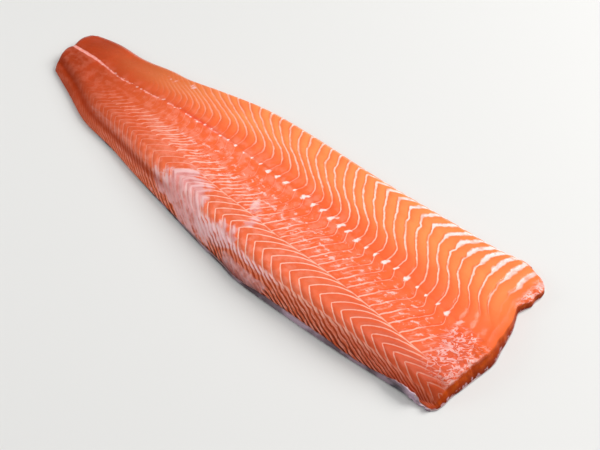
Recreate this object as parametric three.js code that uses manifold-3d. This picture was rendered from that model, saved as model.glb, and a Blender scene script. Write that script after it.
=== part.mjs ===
// A raw salmon fillet: one boned and trimmed side of the fish, lying on its skin.
// Millimetres. +X runs from the tail to the head end, +Y from the back to the belly, +Z up.
// The flesh is lofted along the sheets between its muscle segments, so that its flakes are relief
// in the solid, and both ends are then cut square by a knife. The skin is a thin shell under it.
import * as THREE from "three";
import { mergeVertices } from "three/addons/utils/BufferGeometryUtils.js";
import Module from "manifold-3d";

const wasm = await Module();
wasm.setup();

// ---------- Driving dimensions ----------

const LENGTH = 624; // tail cut to head cut
const END = LENGTH / 2;

// Plan outline, as [x, y]: the back edge, the belly edge and the two cuts.
const BACK_EDGE = [
  [-312, -30.5], [-256, -50.5], [-216, -65], [-166, -71.5], [-121, -80], [-76, -87], [-1, -97.5],
  [37, -101.5], [69, -105.5], [144, -103.5], [214, -99.5], [284, -93], [312, -91],
];
const BELLY_EDGE = [
  [-312, 37.5], [-276, 45.5], [-236, 47.5], [-196, 56.5], [-173, 59.5], [-136, 70], [-76, 84.5],
  [-16, 89.5], [89, 91.5], [184, 97], [239, 100.5], [267, 105.5], [312, 98],
];
const TAIL_CUT = [
  [-271.5, -73.5], [-285.5, -46.5], [-297.5, -36.5], [-306, -24.5], [-309.5, -14.5], [-312, -2.5],
  [-310, 6], [-312, 15.5], [-312.5, 26.5], [-310, 35.5], [-300.5, 42.5], [-285.5, 51.5],
  [-269.5, 76.5],
];
const HEAD_CUT = [
  [254.5, 129.5], [273.5, 104.5], [288.5, 99], [298, 92], [300.5, 83.5], [299, 76.5],
  [299.5, 67.5], [296, 58.5], [294.5, 51.5], [299, 41.5], [303.5, 28.5], [306, 15.5],
  [308.5, 3.5], [311.5, -10.5], [310, -23.5], [307.5, -38.5], [305.5, -52.5], [303, -66.5],
  [303, -76.5], [300.5, -86.5], [290.5, -95.5], [270.5, -120.5],
];
const CLEAR = { x: 240, y: 140 }; // the knife's block is clear of both edges between the cuts

// Height of the thickest part of the loin, as [x, z].
const LOIN_HEIGHT = [
  [-311, 11.5], [-250, 15.5], [-150, 20.5], [-50, 25], [60, 28], [160, 29], [250, 28], [313, 24.5],
];

// Lines that run the length of the fillet, from the back to the belly. Each has, at the STATIONS
// along x, its place across (0 the back edge, 1 the belly edge), its height as a share of the
// loin's, and its lead: how far towards the head a sheet between two muscle segments crosses it,
// from where that sheet crosses the pin-bone line. The leads draw the chevrons.
const STATIONS = [-250, 0, 170, 270];
const FOOT = {
  across: [0, 0, 0, 0], height: [0.2, 0.13, 0.11, 0.11], lead: [16, 20, 20, 18], steps: 5,
};
const SHOULDER = {
  across: [0.125, 0.08, 0.068, 0.05], height: [0.7, 0.86, 0.88, 0.76], lead: [-4, -18, -21, -24],
  steps: 3,
};
const CHEVRON_TIP = {
  across: [0.209, 0.174, 0.139, 0.086], height: [0.93, 1, 1, 0.93], lead: [-18, -44, -46, -49],
  steps: 3,
};
const SEPTUM = {
  across: [0.282, 0.278, 0.246, 0.171], height: [1, 1, 1, 1], lead: [-10, -20, -21, -18], steps: 3,
};
const BROKEN_LINE = {
  across: [0.412, 0.398, 0.392, 0.351], height: [1.02, 0.97, 0.95, 0.97], lead: [-2, -5, -4, -2],
  steps: 2,
};
const MID_BULGE = {
  across: [0.472, 0.444, 0.436, 0.401], height: [1.02, 0.95, 0.92, 0.93], lead: [1, 4, 6, 6], steps: 3,
};
const PIN_BONES = {
  across: [0.573, 0.577, 0.527, 0.442], height: [0.98, 0.89, 0.85, 0.89], lead: [0, 0, 0, 0], steps: 2,
};
const BELLY_BULGE = {
  across: [0.663, 0.628, 0.612, 0.561], height: [0.98, 0.86, 0.79, 0.78], lead: [0, 3, -1, -1],
  steps: 3,
};
const BELLY_MIDDLE = {
  across: [0.763, 0.745, 0.732, 0.681], height: [0.92, 0.72, 0.64, 0.63], lead: [-14, -25, -24, -6],
  steps: 4,
};
const BELLY_TIP = {
  across: [0.883, 0.891, 0.877, 0.782], height: [0.73, 0.46, 0.45, 0.49], lead: [-30, -50, -42, -8],
  steps: 3,
};
const BELLY_RIM = {
  across: [0.96, 0.975, 0.975, 0.97], height: [0.58, 0.36, 0.34, 0.36], lead: [-33, -55, -29, 3],
  steps: 3,
};
const BELLY_SIDE = {
  across: [1, 1, 1, 1], height: [0.31, 0.19, 0.17, 0.18], lead: [-34, -56, -26, 4], steps: 0,
};
const LINES = [
  FOOT, SHOULDER, CHEVRON_TIP, SEPTUM, BROKEN_LINE, MID_BULGE, PIN_BONES, BELLY_BULGE,
  BELLY_MIDDLE, BELLY_TIP, BELLY_RIM, BELLY_SIDE,
];
// The underside is flat, so it needs fewer of them, from the belly to the back.
const UNDER_LINES = [
  BELLY_SIDE, BELLY_RIM, BELLY_MIDDLE, BELLY_BULGE, MID_BULGE, SEPTUM, CHEVRON_TIP, SHOULDER, FOOT,
];

// The muscle segments, and the relief of their flakes.
const FIRST_SHEET = 62.6; // a sheet crosses the pin-bone line at this x
const SEGMENT_PITCH = [
  [-250, 6.5], [-180, 7.5], [-100, 10], [-40, 12.5], [60, 12.8], [200, 13.6], [312, 14],
];
const PLAIN_TAIL = -190; // the tail is nearly smooth: plain rings from here back
const PLAIN_STEP = 13;
const FLAKE_VALLEY = 0.8; // a flake's edge lies this far below the smooth top
const FLAKE_CREST = 0.3;
const FLAKE_FADE = [-215, -110]; // the flakes come up between these x
const CREASE = { depth: 2.4, width: 3.2, fade: [-110, -10] }; // the valley behind the tail's roll
const PIN_GROOVE = { depth: 0.8, width: 2.5 }; // where the pin bones were drawn
const TORN = { x: 283, y: -38, length: 28, width: 32, depth: 1.1 }; // the rough patch at the head end
const HEAD_CORNER = { x: 318, y: -98, reach: 62, drop: 11 }; // the loin falls away to this corner
const CRAG = 0.55; // how rough the head cut is
const CUT_LEAN = 0.05; // how far the head cut leans back, for each millimetre of height

// The flesh's underside: flat, and rounded up at both edges.
const FLESH_INSET = 2.2; // the flesh's foot, in from the back edge
const TURN_BACK = { rise: 1.2, width: 1.6 };
const TURN_BELLY = { rise: 3, width: 3.4 };
const THINNEST = 1; // the flesh is nowhere thinner than this, except at its edges

// The skin and the gap to the flesh over it.
const SKIN = 1.2;
const GAP = 0.3;
const SKIN_STEP = 15;
const SKIN_SPARE = 0.5; // how far the skin stands out past the flesh at the head cut
const LIP = [[-311, 2.8], [-60, 3.2], [50, 7.4], [313, 7.2]]; // how high the skin stands at the back
const LIP_LEAN = 0.11; // how far a tall lip leans in, as a share of the wall's width
const LIP_LEANS = [3, 7]; // lips of these heights start to lean, and lean in full
const LIP_LUMPS = { from: 262, to: 300, rise: 0.8 };

// The skin's section by each edge, as [in from the edge, height], from its rim to its flat.
const BACK_OUTER = [[0, 1.4], [0.7, 0.6], [3, 0.15], [7, 0]];
const BACK_INNER = [[1.2, 1.9], [1.7, 1.5], [3.6, 1.3], [7.4, SKIN]];
const BELLY_OUTER = [[1, 2], [3.4, 0.4], [8, 0]];
const BELLY_INNER = [[2.3, 2.7], [4.6, 1.5], [8.6, SKIN]];

const SMALLEST = 0.02; // what is smaller than this is smoothed out of the cuts

// ---------- Curves ----------

// A smooth curve through [x, y] points, level beyond both ends.
function curveThrough(points) {
  const n = points.length;
  const slope = points.map((p, i) => {
    const [a, b] = [points[Math.max(i - 1, 0)], points[Math.min(i + 1, n - 1)]];
    return (b[1] - a[1]) / (b[0] - a[0]);
  });
  return (x) => {
    const at = THREE.MathUtils.clamp(x, points[0][0], points[n - 1][0]);
    const i = THREE.MathUtils.clamp(points.findIndex((p) => p[0] > at) - 1, 0, n - 2);
    const last = at >= points[n - 1][0] ? n - 2 : i;
    const [a, b] = [points[last], points[last + 1]];
    const w = b[0] - a[0];
    const f = (at - a[0]) / w;
    const g = 1 - f;
    return (1 + 2 * f) * g * g * a[1] + f * g * g * w * slope[last]
      + f * f * (3 - 2 * f) * b[1] - f * f * g * w * slope[last + 1];
  };
}

const backEdge = curveThrough(BACK_EDGE);
const bellyEdge = curveThrough(BELLY_EDGE);
const loinHeight = curveThrough(LOIN_HEIGHT);
const segmentPitch = curveThrough(SEGMENT_PITCH);
const lipHeight = curveThrough(LIP);
const lines = LINES.map((line) => ({
  across: curveThrough(STATIONS.map((x, i) => [x, line.across[i]])),
  height: curveThrough(STATIONS.map((x, i) => [x, line.height[i]])),
  lead: curveThrough(STATIONS.map((x, i) => [x, line.lead[i]])),
  steps: line.steps,
}));

const SHOULDER_AT = LINES.indexOf(SHOULDER);
const PIN_BONES_AT = LINES.indexOf(PIN_BONES);

const fade = (x, [from, to]) => THREE.MathUtils.smoothstep(x, from, to);
const hill = (d) => Math.exp(-d * d);

// A repeatable number from -1 to 1 for a place.
function scatter(a, b) {
  const s = Math.sin(a * 12.9898 + b * 78.233) * 43758.5453;
  return 2 * (s - Math.floor(s)) - 1;
}

// ---------- The flesh ----------

// Height of the smooth top, over the share `across` between the lines on both sides of it.
function smoothTop(x, across) {
  const points = lines.map((line) => [line.across(x), line.height(x)]);
  return curveThrough(points)(across) * loinHeight(x);
}

// What the top's height gains or loses to the crease, the pin-bone groove, the torn patch, the
// low corner and the flakes. `flake` is 0 on a sheet and 1 halfway between two.
function relief(x, y, flake) {
  const width = bellyEdge(x) - backEdge(x);
  const from = (line) => y - backEdge(x) - lines[line].across(x) * width;
  const crease = CREASE.depth * hill(from(SHOULDER_AT) / CREASE.width) * (1 - fade(x, CREASE.fade));
  const groove = PIN_GROOVE.depth * hill(from(PIN_BONES_AT) / PIN_GROOVE.width);
  const torn = hill((x - TORN.x) / TORN.length) * hill((y - TORN.y) / TORN.width);
  const corner = Math.hypot(x - HEAD_CORNER.x, y - HEAD_CORNER.y) / HEAD_CORNER.reach;
  const drop = HEAD_CORNER.drop * hill(corner);
  const flakes = (flake * (FLAKE_CREST + FLAKE_VALLEY) - FLAKE_VALLEY) * fade(x, FLAKE_FADE);
  return flakes - crease - groove - drop + TORN.depth * torn * scatter(x, y);
}

// The points of one ring of the flesh, round the section that follows one sheet: over the top
// from the back to the belly, then back under it. `pin` is the sheet's x at the pin-bone line.
function fleshRing(pin, flake) {
  const at = lines.map((line) => {
    const lead = line.lead(pin);
    return { lead, across: line.across(pin + lead) };
  });
  const ring = [];
  lines.forEach((line, k) => {
    const next = Math.min(k + 1, lines.length - 1);
    for (let i = 0; i < Math.max(line.steps, 1); i++) {
      const f = line.steps ? i / line.steps : 0;
      const rounded = k === 0 ? (f + 1 - Math.cos((f * Math.PI) / 2)) / 2 : f;
      const across = THREE.MathUtils.lerp(at[k].across, at[next].across, rounded);
      const x = pin + THREE.MathUtils.lerp(at[k].lead, at[next].lead, f);
      ring.push(topPoint(x, across, k === 0 ? f : null, flake));
    }
  });
  for (const line of UNDER_LINES) ring.push(...underPoints(pin + at[LINES.indexOf(line)].lead, line));
  return ring;
}

// A point of the top. On the wall along the back, `wall` goes from 0 at its foot to 1 at the
// shoulder, where the wall rounds over.
function topPoint(x, across, wall, flake) {
  const [back, belly] = [backEdge(x) + FLESH_INSET, bellyEdge(x)];
  const y = THREE.MathUtils.lerp(back, belly, across);
  const side = THREE.MathUtils.smoothstep(across, 0.965, 1);
  const foot = lines[0].height(x) * loinHeight(x);
  const shoulder = smoothTop(x, lines[SHOULDER_AT].across(x));
  const smooth = wall === null
    ? smoothTop(x, across)
    : THREE.MathUtils.lerp(foot, shoulder, Math.sin((wall * Math.PI) / 2));
  const rises = wall === null ? 1 - side : wall;
  return [x, y, Math.max(smooth + relief(x, y, flake) * rises, underside(x, y) + THINNEST)];
}

// Height of the flesh's underside.
function underside(x, y) {
  const fromBack = y - backEdge(x) - SKIN - GAP;
  const fromBelly = bellyEdge(x) - y;
  const back = TURN_BACK.rise * hill(fromBack / TURN_BACK.width);
  const belly = TURN_BELLY.rise * hill(fromBelly / TURN_BELLY.width);
  return SKIN + GAP + back + belly;
}

// The points of the underside on one line: more than one where it rounds up to an edge.
function underPoints(x, line) {
  const [back, belly] = [backEdge(x) + FLESH_INSET, bellyEdge(x)];
  const across = THREE.MathUtils.lerp(back, belly, lines[LINES.indexOf(line)].across(x));
  let ys = [across];
  if (line === BELLY_SIDE) ys = [belly - 2.2, belly - 4.6];
  if (line === BELLY_RIM) ys = [belly - 9];
  if (line === FOOT) ys = [back + 2.6, back + 0.7];
  return ys.map((y) => [x, y, underside(x, y)]);
}

// Sheets and crests from head to tail, as [x at the pin-bone line, flake].
function sheets() {
  const spare = 6;
  const first = -END - Math.max(...lines.map((line) => line.lead(-END))) - spare;
  const last = END - Math.min(...lines.map((line) => line.lead(END))) + spare;
  const found = [];
  for (let x = FIRST_SHEET, n = 0; x < last; n++, x += segmentPitch(x) / 2) found.push([x, n % 2]);
  for (let x = FIRST_SHEET, n = 0; x > PLAIN_TAIL; n++) {
    x -= segmentPitch(x) / 2;
    found.unshift([x, (n + 1) % 2]);
  }
  while (found[0][0] > first) found.unshift([found[0][0] - PLAIN_STEP, 0.5]);
  return found;
}

// Joins equal rings into a closed tube, and closes both ends through the rings' middles.
function tube(rings) {
  const [count, size] = [rings.length, rings[0].length];
  const positions = rings.flat(2);
  const index = [];
  for (let r = 0; r + 1 < count; r++) {
    for (let i = 0; i < size; i++) {
      const [a, b] = [r * size + i, r * size + ((i + 1) % size)];
      index.push(a, a + size, b, b, a + size, b + size);
    }
  }
  for (const [r, turned] of [[0, false], [count - 1, true]]) {
    for (let lo = 0, hi = size - 1; lo + 1 < hi; ) {
      const [a, b] = [r * size + lo, r * size + hi];
      const stepLow = hi - lo === 2 || rings[r][lo + 1][1] < rings[r][hi - 1][1];
      const c = r * size + (stepLow ? lo + 1 : hi - 1);
      index.push(...(turned ? [a, b, c] : [a, c, b]));
      if (stepLow) lo++;
      else hi--;
    }
  }
  const geometry = new THREE.BufferGeometry();
  geometry.setAttribute("position", new THREE.Float32BufferAttribute(positions, 3));
  geometry.setIndex(index);
  return geometry;
}

// ---------- The knife ----------

// The block that the knife leaves: both cuts' outlines drawn in plan and extruded upwards, with
// shallow crags on the head cut. `spare` lets the skin stand out past the flesh.
function knifeBlock(spare) {
  const cut = (points, n) => new THREE.SplineCurve(points.map((p) => new THREE.Vector2(...p))).getPoints(n);
  const side = (y) => [new THREE.Vector2(-CLEAR.x, y), new THREE.Vector2(CLEAR.x, y)];
  const plan = [
    ...cut([...TAIL_CUT].reverse(), 40), ...side(-CLEAR.y),
    ...cut([...HEAD_CUT].reverse(), 76), ...side(CLEAR.y).reverse(),
  ];
  const tall = { depth: 48, steps: 8, bevelEnabled: false };
  const block = new THREE.ExtrudeGeometry(new THREE.Shape(plan), tall);
  block.translate(0, 0, -6);
  const at = block.getAttribute("position");
  for (let i = 0; i < at.count; i++) {
    const [x, y, z] = [at.getX(i), at.getY(i), at.getZ(i)];
    if (x <= CLEAR.x) continue;
    const crag = CRAG * scatter(Math.round(y * 2), Math.round(z / 3)) * fade(z, [1.5, 4]);
    const lean = CUT_LEAN * Math.max(z - 3, 0);
    at.setX(i, x + crag - lean + spare * (1 + scatter(Math.round(y / 3), 7)));
  }
  return block;
}

// ---------- The skin ----------

// One ring of the skin: its outer face from the lip at the back to the lip at the belly, then
// its inner face back again.
function skinRing(x) {
  const [back, belly] = [backEdge(x), bellyEdge(x)];
  const lumps = fade(x, [LIP_LUMPS.from - 8, LIP_LUMPS.from]) * (1 - fade(x, [LIP_LUMPS.to, END]));
  const lip = lipHeight(x) + LIP_LUMPS.rise * lumps * (1 + scatter(x, 3));
  const wall = lines[SHOULDER_AT].across(x) * (belly - back);
  const lean = LIP_LEAN * wall * fade(lip, LIP_LEANS);
  const face = (thick, backTurn, bellyTurn) => [
    [back + lean + thick, lip - thick / 4], [back + 0.35 * lean + thick, (lip + 1.4 + thick / 4) / 2],
    ...backTurn.map(([inwards, z]) => [back + inwards, z]),
    ...[1 / 3, 2 / 3].map((f) => [THREE.MathUtils.lerp(back, belly, f), thick]),
    ...bellyTurn.map(([inwards, z]) => [belly - inwards, z]).reverse(),
  ];
  const [outer, inner] = [face(0, BACK_OUTER, BELLY_OUTER), face(SKIN, BACK_INNER, BELLY_INNER)];
  return [...inner, ...outer.reverse()].map(([y, z]) => [x, y, z]);
}

// ---------- Assembly ----------

function solidOf(geometry) {
  for (const name of ["normal", "uv"]) geometry.deleteAttribute(name);
  const merged = mergeVertices(geometry, 1e-4);
  return new wasm.Manifold(
    new wasm.Mesh({
      numProp: 3,
      vertProperties: new Float32Array(merged.getAttribute("position").array),
      triVerts: new Uint32Array(merged.index.array),
    }),
  );
}

function meshOf(name, solid, material) {
  const { vertProperties, triVerts } = solid.getMesh();
  const geometry = new THREE.BufferGeometry();
  geometry.setAttribute("position", new THREE.BufferAttribute(new Float32Array(vertProperties), 3));
  geometry.setIndex(new THREE.BufferAttribute(new Uint32Array(triVerts), 1));
  geometry.computeVertexNormals();
  const mesh = new THREE.Mesh(geometry, new THREE.MeshStandardMaterial(material));
  mesh.name = name;
  return mesh;
}

const fleshRings = sheets().map(([pin, flake]) => fleshRing(pin, flake));
const flesh = solidOf(tube(fleshRings)).intersect(solidOf(knifeBlock(0))).setTolerance(SMALLEST);

const skinStations = Math.round((LENGTH + 2 * SKIN_STEP) / SKIN_STEP);
const skinRings = Array.from({ length: skinStations + 1 }, (_, i) => {
  return skinRing(THREE.MathUtils.lerp(-END - SKIN_STEP, END + SKIN_STEP, i / skinStations));
});
const skin = solidOf(tube(skinRings)).intersect(solidOf(knifeBlock(SKIN_SPARE))).setTolerance(SMALLEST);

const fillet = new THREE.Group();
fillet.add(meshOf("flesh", flesh, { color: 0xf27a50, roughness: 0.32, metalness: 0 }));
fillet.add(meshOf("skin", skin, { color: 0x8f8a96, roughness: 0.35, metalness: 0.2 }));

// The origin is at the bottom centre of the whole.
const box = new THREE.Box3().setFromObject(fillet);
const centre = box.getCenter(new THREE.Vector3());
for (const mesh of fillet.children) mesh.geometry.translate(-centre.x, -centre.y, -box.min.z);

export default fillet;
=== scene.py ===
# %% [markdown]
# # A raw salmon fillet
# This lesson dresses a boned and trimmed side of salmon that lies on its skin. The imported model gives
# its size and two nodes: the flesh and the skin under it. Both are loaded first as a frame that nothing
# may move. Each is then replaced by a piece with the finer relief and the colours of the real thing.
#
# All shapes here are worked out in millimetres, because that is how a fishmonger would measure them,
# and turned into Blender's metres at the last step.

import bmesh
import bpy
import numpy as np
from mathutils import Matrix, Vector, noise


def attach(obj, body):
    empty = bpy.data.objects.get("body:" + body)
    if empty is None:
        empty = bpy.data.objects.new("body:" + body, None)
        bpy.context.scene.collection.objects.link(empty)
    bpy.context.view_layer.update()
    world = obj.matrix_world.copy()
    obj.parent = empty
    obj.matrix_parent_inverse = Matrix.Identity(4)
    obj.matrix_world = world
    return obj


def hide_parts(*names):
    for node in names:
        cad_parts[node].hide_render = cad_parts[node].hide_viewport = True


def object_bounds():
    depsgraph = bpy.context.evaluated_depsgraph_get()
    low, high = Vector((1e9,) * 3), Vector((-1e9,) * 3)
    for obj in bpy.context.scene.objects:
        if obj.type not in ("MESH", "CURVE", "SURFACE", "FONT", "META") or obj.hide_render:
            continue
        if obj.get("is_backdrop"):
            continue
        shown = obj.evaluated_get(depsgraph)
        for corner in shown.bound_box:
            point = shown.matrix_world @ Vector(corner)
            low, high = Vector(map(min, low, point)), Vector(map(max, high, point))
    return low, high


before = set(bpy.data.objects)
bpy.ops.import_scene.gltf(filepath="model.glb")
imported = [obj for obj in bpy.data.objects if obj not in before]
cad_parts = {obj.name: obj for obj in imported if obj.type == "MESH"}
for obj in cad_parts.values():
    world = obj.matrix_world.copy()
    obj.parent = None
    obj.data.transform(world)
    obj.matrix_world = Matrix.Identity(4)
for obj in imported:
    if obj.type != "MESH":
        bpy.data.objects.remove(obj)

MM = 0.001
cad_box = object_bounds()
print("CAD box in mm:", [[round(c / MM, 1) for c in corner] for corner in cad_box])

# %% [markdown]
# ## The plan
# A side of salmon is widest behind the head and narrows to the tail. Four curves give its outline: the
# edge along the back, the edge of the belly, and the knife's cuts at the tail and at the head end. A
# curve through a few named points is easier to change than a drawn outline, so most lengths below are
# read from such curves. Places are in mm from the middle: x runs from the tail to the head end, y from
# the back to the belly, and z up.

# %% A smooth curve through points
def curve_through(points):
    """A smooth curve through (x, y) points, level beyond both ends."""
    at, value = np.array(points, float).T
    before = np.maximum(np.arange(len(at)) - 1, 0)
    after = np.minimum(np.arange(len(at)) + 1, len(at) - 1)
    slope = (value[after] - value[before]) / (at[after] - at[before])

    def curve(x):
        x = np.clip(x, at[0], at[-1])
        i = np.clip(np.searchsorted(at, x, side="right") - 1, 0, len(at) - 2)
        w = at[i + 1] - at[i]
        f = (x - at[i]) / w
        g = 1 - f
        return ((1 + 2 * f) * g * g * value[i] + f * g * g * w * slope[i]
                + f * f * (3 - 2 * f) * value[i + 1] - f * f * g * w * slope[i + 1])

    return curve


step_up = curve_through([(0, 0), (10, 4), (20, 4)])
print("a curve through 0, 4 and 4 passes", [round(float(step_up(at)), 1) for at in (0, 5, 10, 15, 20)])

# %% The outline, in mm
LENGTH = 624
back_edge = curve_through([
    (-312, -30.5), (-256, -50.5), (-216, -65), (-166, -71.5), (-121, -80), (-76, -87), (-1, -97.5),
    (37, -101.5), (69, -105.5), (144, -103.5), (214, -99.5), (284, -93), (312, -91)])
belly_edge = curve_through([
    (-312, 37.5), (-276, 45.5), (-236, 47.5), (-196, 56.5), (-173, 59.5), (-136, 70), (-76, 84.5),
    (-16, 89.5), (89, 91.5), (184, 97), (239, 100.5), (267, 105.5), (312, 98)])
# The cuts are given the other way round: how far along they are, at each place across.
tail_cut = curve_through([
    (-46.5, -285.5), (-36.5, -297.5), (-24.5, -306), (-14.5, -309.5), (-2.5, -312), (6, -310),
    (15.5, -312), (26.5, -312.5), (35.5, -310), (42.5, -300.5), (51.5, -285.5)])
head_cut = curve_through([
    (-120.5, 270.5), (-95.5, 290.5), (-86.5, 300.5), (-76.5, 303), (-66.5, 303), (-52.5, 305.5),
    (-38.5, 307.5), (-23.5, 310), (-10.5, 311.5), (3.5, 308.5), (15.5, 306), (28.5, 303.5),
    (41.5, 299), (51.5, 294.5), (58.5, 296), (67.5, 299.5), (76.5, 299), (83.5, 300.5), (92, 298),
    (99, 288.5), (104.5, 273.5)])
# The head cut leans back: its top edge lies this far behind its foot.
lean_back = curve_through([(-110, 3), (-75, 6), (-20, 7), (20, 4), (60, 2), (105, 1)])
widest = max(belly_edge(x) - back_edge(x) for x in range(-300, 300, 10))
print("widest across the fillet:", round(float(widest), 1), "mm")

# %% [markdown]
# ## The section
# Cut across anywhere, the fillet has a steep wall at the back, a thick loin, and a belly that thins
# out. The shoulder is the ridge at the top of the wall. Further in come the tips of the chevrons, the
# septum that parts the loin from the middle, and the line where the pin bones were. Each of these
# runs the length of the fillet, so each is a curve of its place across and of its height there.

# %% Lines along the fillet
loin_height = curve_through([
    (-311, 11.5), (-250, 15.5), (-150, 20.5), (-50, 25), (60, 28), (160, 29), (250, 28), (313, 24.5)])
STATIONS = (-250, 0, 170, 270)
SECTION = {  # place across, 0 at the back edge and 1 at the belly edge; height as a share of the loin's
    "foot": ((0, 0, 0, 0), (0.2, 0.13, 0.11, 0.11)),
    "shoulder": ((0.125, 0.08, 0.068, 0.05), (0.7, 0.86, 0.88, 0.76)),
    "tip": ((0.209, 0.174, 0.139, 0.086), (0.93, 1, 1, 0.93)),
    "septum": ((0.282, 0.278, 0.246, 0.171), (1, 1, 1, 1)),
    "broken": ((0.412, 0.398, 0.392, 0.351), (1.02, 0.97, 0.95, 0.97)),
    "middle": ((0.472, 0.444, 0.436, 0.401), (1.02, 0.95, 0.92, 0.93)),
    "pin": ((0.573, 0.577, 0.527, 0.442), (0.98, 0.89, 0.85, 0.89)),
    "bulge": ((0.663, 0.628, 0.612, 0.561), (0.98, 0.86, 0.79, 0.78)),
    "slope": ((0.763, 0.745, 0.732, 0.681), (0.92, 0.72, 0.64, 0.63)),
    "flap": ((0.883, 0.891, 0.877, 0.782), (0.73, 0.46, 0.45, 0.49)),
    "rim": ((0.96, 0.975, 0.975, 0.97), (0.58, 0.36, 0.34, 0.36)),
    "side": ((1, 1, 1, 1), (0.31, 0.19, 0.17, 0.18)),
}
places = [curve_through(list(zip(STATIONS, across))) for across, _ in SECTION.values()]
heights = [curve_through(list(zip(STATIONS, height))) for _, height in SECTION.values()]
shoulder_line, foot_share = places[1], heights[0]
print("lines along the fillet:", ", ".join(SECTION))


# %% Reading a table across the fillet
def read_across(at, values, share):
    """Smooth values at each share, from values known at the places `at` of the same row."""
    n = at.shape[-1]
    i = np.clip((at <= share[..., None]).sum(-1) - 1, 0, n - 2)[..., None]
    before = np.maximum(np.arange(n) - 1, 0)
    after = np.minimum(np.arange(n) + 1, n - 1)
    slope = (values[..., after] - values[..., before]) / (at[..., after] - at[..., before])

    def pick(table, k):
        return np.take_along_axis(table, k, -1)[..., 0]

    w = pick(at, i + 1) - pick(at, i)
    f = (share - pick(at, i)) / w
    g = 1 - f
    return ((1 + 2 * f) * g * g * pick(values, i) + f * g * g * w * pick(slope, i)
            + f * f * (3 - 2 * f) * pick(values, i + 1) - f * f * g * w * pick(slope, i + 1))


def smooth_top(x, share):
    """Height of the smooth top in mm, without flakes."""
    at = np.stack([place(x) for place in places], -1)
    values = np.stack([height(x) for height in heights], -1)
    return read_across(at, values, share) * loin_height(x)


def fade(x, start, end):
    """0 at start, 1 at end, and smooth between them. It falls where start lies beyond end."""
    t = np.clip((x - start) / (end - start), 0, 1)
    return t * t * (3 - 2 * t)


def hill(d):
    """1 at 0, falling softly to 0.37 at 1 and on to 0."""
    return np.exp(-d * d)


halfway = smooth_top(np.array([0.0]), np.array([0.3]))[0]
print("the loin's top is", round(float(halfway), 1), "mm high halfway along")

# %% [markdown]
# ## A net over the fillet
# The flesh is one block of dough, as it were: a slab is made as a flat block with a square net of
# points, and each point of the net is then moved to its place. The net runs along the fillet in one
# direction and across it in the other, so that everything that is known about a place, its height,
# its muscle segment, its colour, can be worked out once for the whole net.

# %% The net's places
CELLS_ALONG, CELLS_ACROSS, FINER = 52, 20, 8
ALONG, ACROSS = CELLS_ALONG * FINER, CELLS_ACROSS * FINER
WALL = 0.17  # share of the net that stands on the wall along the back
FLESH_INSET = 2.2
u, v = np.meshgrid(np.linspace(0, 1, ALONG + 1), np.linspace(0, 1, ACROSS + 1), indexing="ij")
up_wall = np.clip(v / WALL, 0, 1)
past_wall = 1 - (1 - np.clip((v - WALL) / (1 - WALL), 0, 1)) ** 1.2
x = (u - 0.5) * LENGTH
for _ in range(5):  # the cuts' places depend on y, and y on x: a few rounds settle both
    shoulder = shoulder_line(x)
    on_wall = shoulder * (up_wall + 1 - np.cos(up_wall * np.pi / 2)) / 2
    share = np.where(v < WALL, on_wall, shoulder + (1 - shoulder) * past_wall)
    y = back_edge(x) + FLESH_INSET + (belly_edge(x) - back_edge(x) - FLESH_INSET) * share
    head_end = head_cut(y) - lean_back(y)
    x = tail_cut(y) + (head_end - tail_cut(y)) * u
ragged = np.array([noise.noise(Vector((c / 9, 0.4, 9.1))) for c in y[-1]]) * fade(y[-1], -80, -65)
head_end = head_end + 0.8 * ragged
x = x + 0.8 * ragged * fade(u, 0.97, 1)
width = belly_edge(x) - back_edge(x) - FLESH_INSET
print("net:", ALONG + 1, "x", ACROSS + 1, "points, x from", round(float(x.min())), "to",
      round(float(x.max())))

# %% [markdown]
# ## Muscle segments
# Salmon muscle is a stack of thin curved segments, and the white lines are the sheets of fat between
# them. Seen from above, each sheet is a zigzag: a chevron in the loin with its tip towards the tail, a
# bulge towards the head in the middle, and a long sweep over the belly back towards the tail. Each
# sheet is named by where it crosses the line of the pin bones. Its lead is how far towards the head it
# lies at any other place across, which is negative for most of it.
#
# The tables below say how many sheets there are along the pin bones, and what their leads are. With
# them, each point of the net gets a number that grows by one from sheet to sheet. A whole number means
# fat, and what lies between is muscle. The loin's sheets run into the septum at a sharp angle and
# don't meet those of the middle there, so the two sides are numbered apart.

# %% The sheets' numbers and leads
sheet_number = curve_through([  # at the pin-bone line
    (-312, -41), (-250, -32), (-200, -25), (-145, -18), (-100, -13), (-75.5, -11), (-39.5, -8),
    (-1, -5), (65, 0), (128, 5), (180, 9), (210, 11), (236, 13), (264, 15), (293, 17), (335, 20),
    (375, 23.2)])
tip_line = curve_through([
    (-250, 0.2), (-133, 0.184), (-103, 0.171), (-49, 0.157), (7, 0.155), (57, 0.163), (107, 0.143),
    (148, 0.13), (188, 0.115), (228, 0.1), (256, 0.087), (283, 0.072)])
septum_line = curve_through([
    (-250, 0.29), (-84, 0.28), (-38, 0.262), (53, 0.27), (103, 0.267), (154, 0.247), (204, 0.215),
    (253, 0.174), (300, 0.15)])
pin_line = curve_through([
    (-305, 0.508), (-254, 0.56), (-202, 0.577), (-151, 0.598), (-100, 0.579), (1, 0.565),
    (64, 0.57), (129, 0.528), (194, 0.494), (237, 0.458), (264, 0.418), (310, 0.4)])
tip_lead = curve_through([
    (-250, -18), (-150, -30), (-90, -36), (-40, -38), (0, -39), (65, -45.5), (180, -47.5),
    (235, -49.5), (293, -54)])
upper_arm = curve_through([(-250, 12), (-170, 19), (-100, 27), (-40, 32), (50, 38), (240, 40), (290, 52)])
lower_arm = curve_through([(-250, 8), (-100, 11), (-20, 14), (50, 15), (245, 15), (290, 13), (345, 9)])
wall_lead = curve_through([
    (-250, 18), (-100, 34), (50, 44), (180, 47), (240, 52), (290, 48), (315, 37), (330, 28), (345, 20),
    (360, 14)])
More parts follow.
